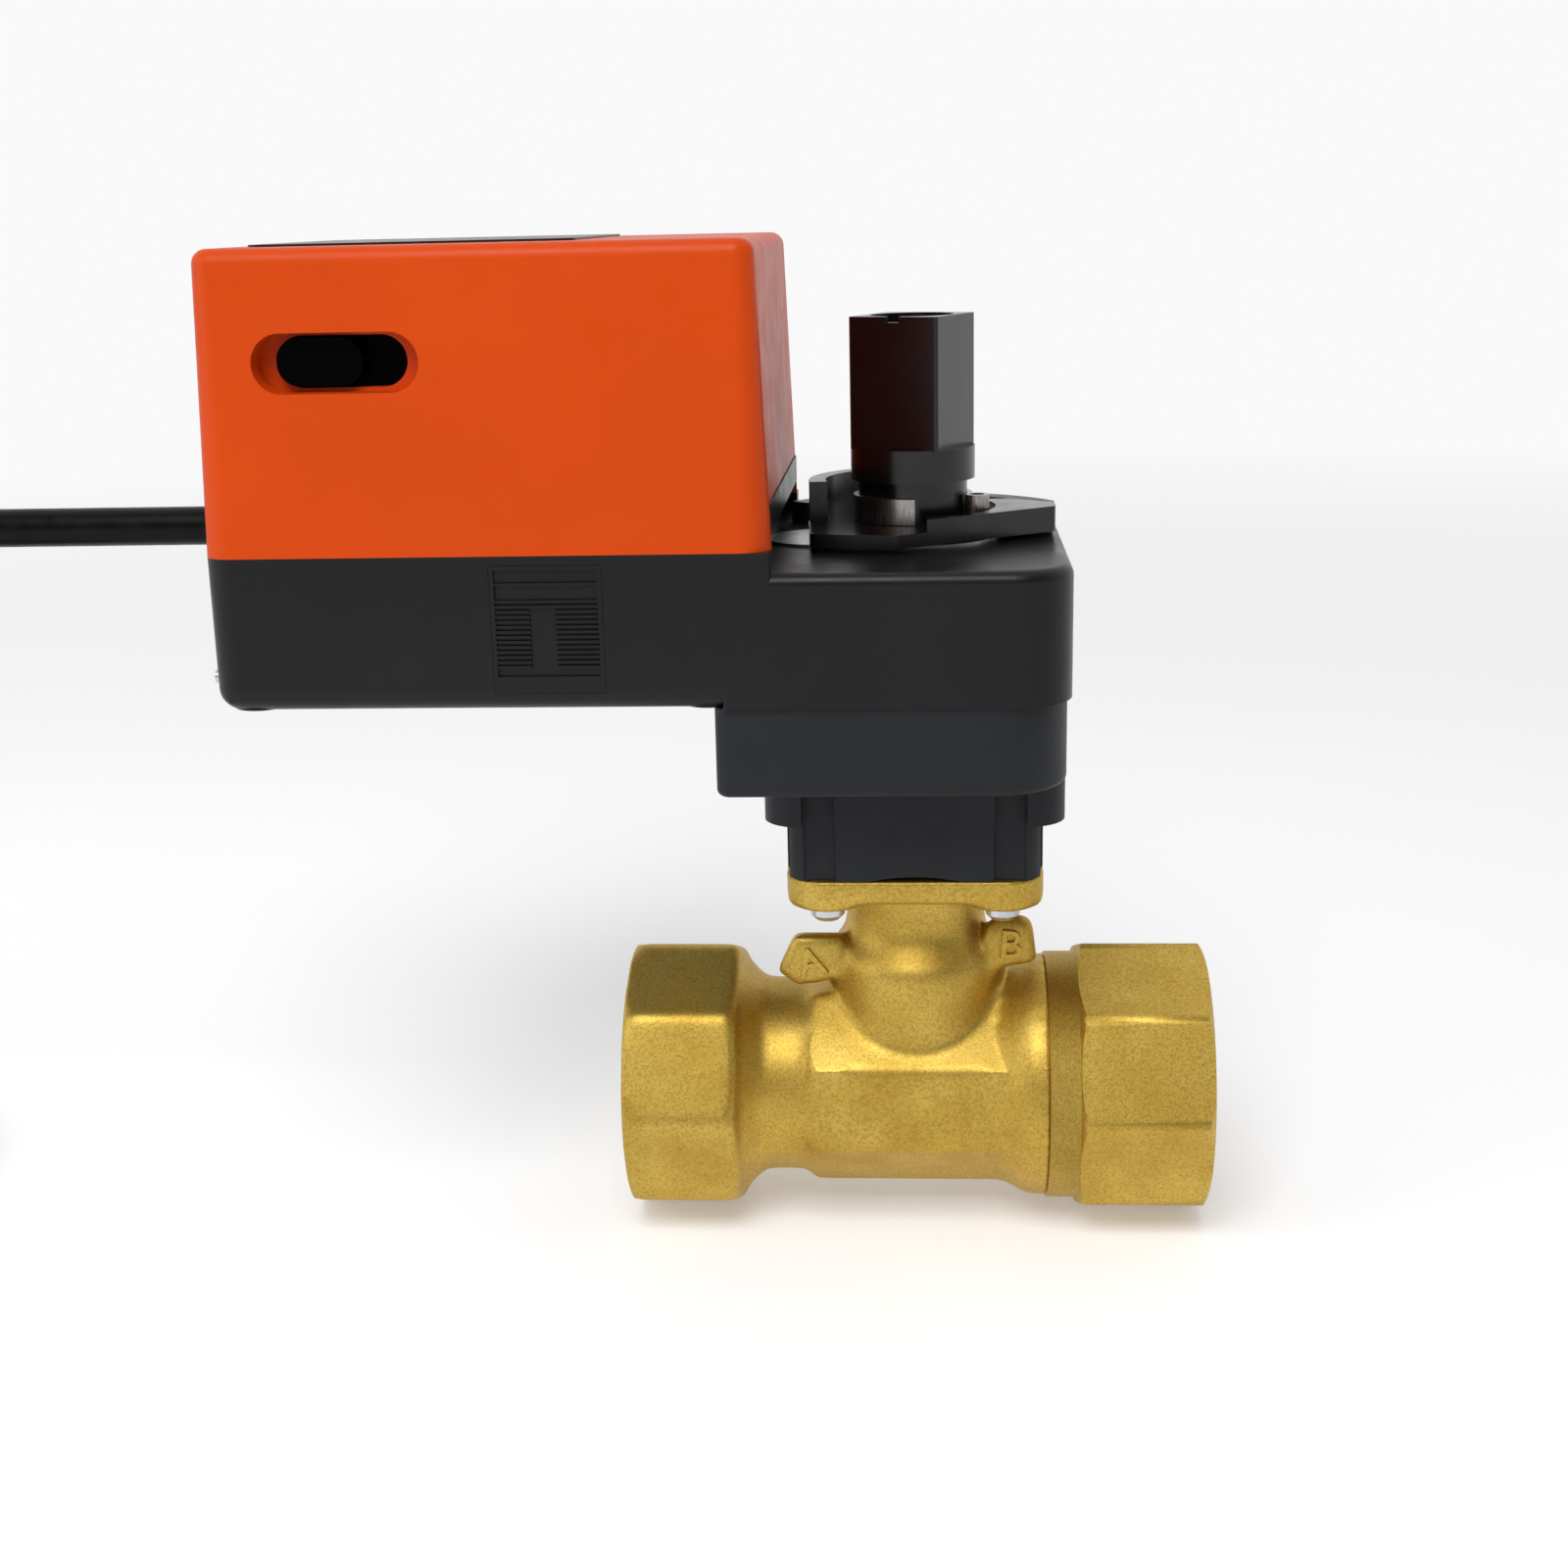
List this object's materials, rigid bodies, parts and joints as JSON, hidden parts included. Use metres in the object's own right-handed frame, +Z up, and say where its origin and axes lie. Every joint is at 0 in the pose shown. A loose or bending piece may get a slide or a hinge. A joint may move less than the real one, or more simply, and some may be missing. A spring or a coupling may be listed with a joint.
{
  "type": "modulating control valve",
  "caption": "Forged brass ball valve with internally threaded ends and a geared rotary actuator that sets the flow over a quarter turn.",
  "frame": {"origin": "centre of the ball, where the pipe axis and the stem axis cross", "axes": "+X along the pipe from port A to port B, +Y to the back, +Z up along the stem"},
  "size_m": [0.2865, 0.0896, 0.1478],
  "materials": {
    "forged_brass": "blasted forged brass, golden and fine-grained",
    "plated_ball": "polished chromium plate",
    "white_ptfe": "waxy white PTFE",
    "stainless_steel": "turned stainless steel",
    "zinc_steel": "bright zinc-plated steel",
    "spring_steel": "polished spring steel",
    "black_rubber": "black nitrile rubber",
    "charcoal_plastic": "charcoal glass-filled nylon, satin",
    "black_plastic": "black polycarbonate blend, semi-gloss",
    "orange_plastic": "orange moulded plastic, satin gloss",
    "label_film": "dark bare label plate",
    "white_acetal": "natural acetal",
    "bronze": "sintered bronze",
    "rotor_magnet": "ferrite magnet on a steel shaft",
    "board_laminate": "green laminate",
    "capacitor_sleeve": "dark shrink sleeve",
    "cable_jacket": "black PVC jacket",
    "core_insulation": "coloured PVC insulation"
  },
  "bodies": {
    "valve": {"valve_body": "forged_brass", "end_connector": "forged_brass", "seat_a": "white_ptfe", "seat_b": "white_ptfe", "flow_plate": "stainless_steel", "thrust_washer": "white_ptfe", "joint_ring": "black_rubber", "adapter": "charcoal_plastic", "flange_screws": "zinc_steel", "adapter_screws": "zinc_steel", "bracket": "charcoal_plastic", "bracket_screws": "zinc_steel", "base_housing": "black_plastic", "cover": "orange_plastic", "top_plate": "label_film", "case_screws": "zinc_steel", "rib_plate": "black_plastic", "lower_bush": "bronze", "upper_bush": "bronze", "motor_can": "zinc_steel", "gear_plate": "zinc_steel", "gear_pins": "spring_steel", "plate_screws": "zinc_steel", "thrust_plate": "zinc_steel", "circuit_board": "board_laminate", "capacitor": "capacitor_sleeve", "terminal_block": "white_acetal", "cable_gland": "black_rubber", "end_pin": "zinc_steel", "inner_cores": "core_insulation", "cable_free": "cable_jacket", "cable_coil": "cable_jacket", "cable_tail": "cable_jacket", "cable_cores": "core_insulation"},
    "output": {"output_gear": "white_acetal", "spindle": "stainless_steel", "sleeve": "black_plastic", "pointer": "black_plastic", "retaining_clip": "spring_steel", "stem": "stainless_steel", "stem_rings": "black_rubber", "ball": "plated_ball"},
    "idler_3": {"idler_gear_3": "white_acetal"},
    "idler_2": {"idler_gear_2": "white_acetal"},
    "rotor": {"motor_rotor": "rotor_magnet"},
    "slider": {"release_slider": "black_plastic"}
  },
  "joints": [
    {"name": "output_turn", "type": "hinge", "parent": "valve", "child": "output", "pos_m": [0, 0, 0], "axis": [0, 0, -1], "range_deg": [0, 90]},
    {"name": "idler_3_turn", "type": "hinge", "parent": "valve", "child": "idler_3", "pos_m": [-0.03, 0, 0], "axis": [0, 0, -1], "range_deg": [-360, 0]},
    {"name": "idler_2_turn", "type": "hinge", "parent": "valve", "child": "idler_2", "pos_m": [-0.05009, 0.00538, 0], "axis": [0, 0, -1], "range_deg": [0, 1200]},
    {"name": "rotor_turn", "type": "hinge", "parent": "valve", "child": "rotor", "pos_m": [-0.06446, 0.00438, 0], "axis": [0, 0, -1], "range_deg": [-3600, 0]},
    {"name": "release_slide", "type": "slide", "parent": "valve", "child": "slider", "axis": [1, 0, 0], "range_m": [0, 0.0054]}
  ],
  "couplings": [
    {"joint": "idler_3_turn", "follows": "output_turn", "ratio": -4},
    {"joint": "idler_2_turn", "follows": "output_turn", "ratio": 13.333},
    {"joint": "rotor_turn", "follows": "output_turn", "ratio": -40}
  ]
}
